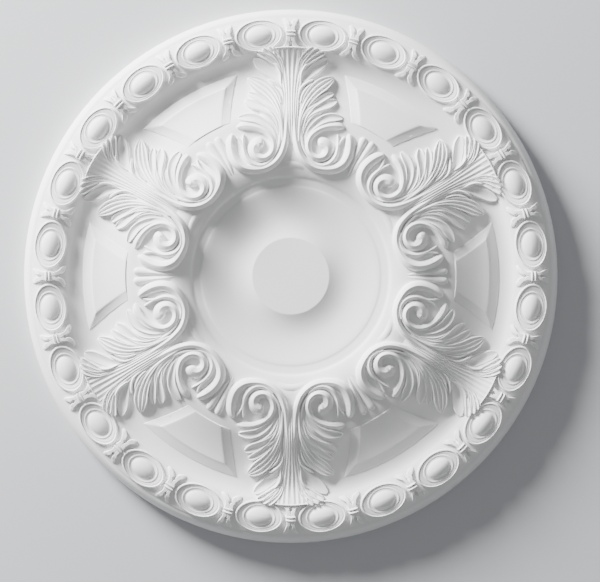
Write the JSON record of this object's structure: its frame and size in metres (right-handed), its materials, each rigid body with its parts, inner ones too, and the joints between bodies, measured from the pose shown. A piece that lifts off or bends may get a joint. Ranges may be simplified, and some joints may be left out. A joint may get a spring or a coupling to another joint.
{
  "type": "ceiling rose",
  "caption": "Round white moulded ceiling rose: acanthus leaves rising between scrolls, bevelled panels, a band of eggs and clasps, and a dished centre with a flat disc.",
  "frame": {"origin": "centre of the flat back, where the rose is fixed", "axes": "The rose is held upright as the picture shows it, face towards -Y: -Y points out of the face, +X to the right of someone facing it and +Z to the top of the picture. On a ceiling +Y points up."},
  "size_m": [0.6, 0.0571, 0.6],
  "materials": {
    "white_coat": "matt white primer on a smooth moulding"
  },
  "bodies": {
    "root": {"ceiling_rose": "white_coat"}
  },
  "joints": []
}
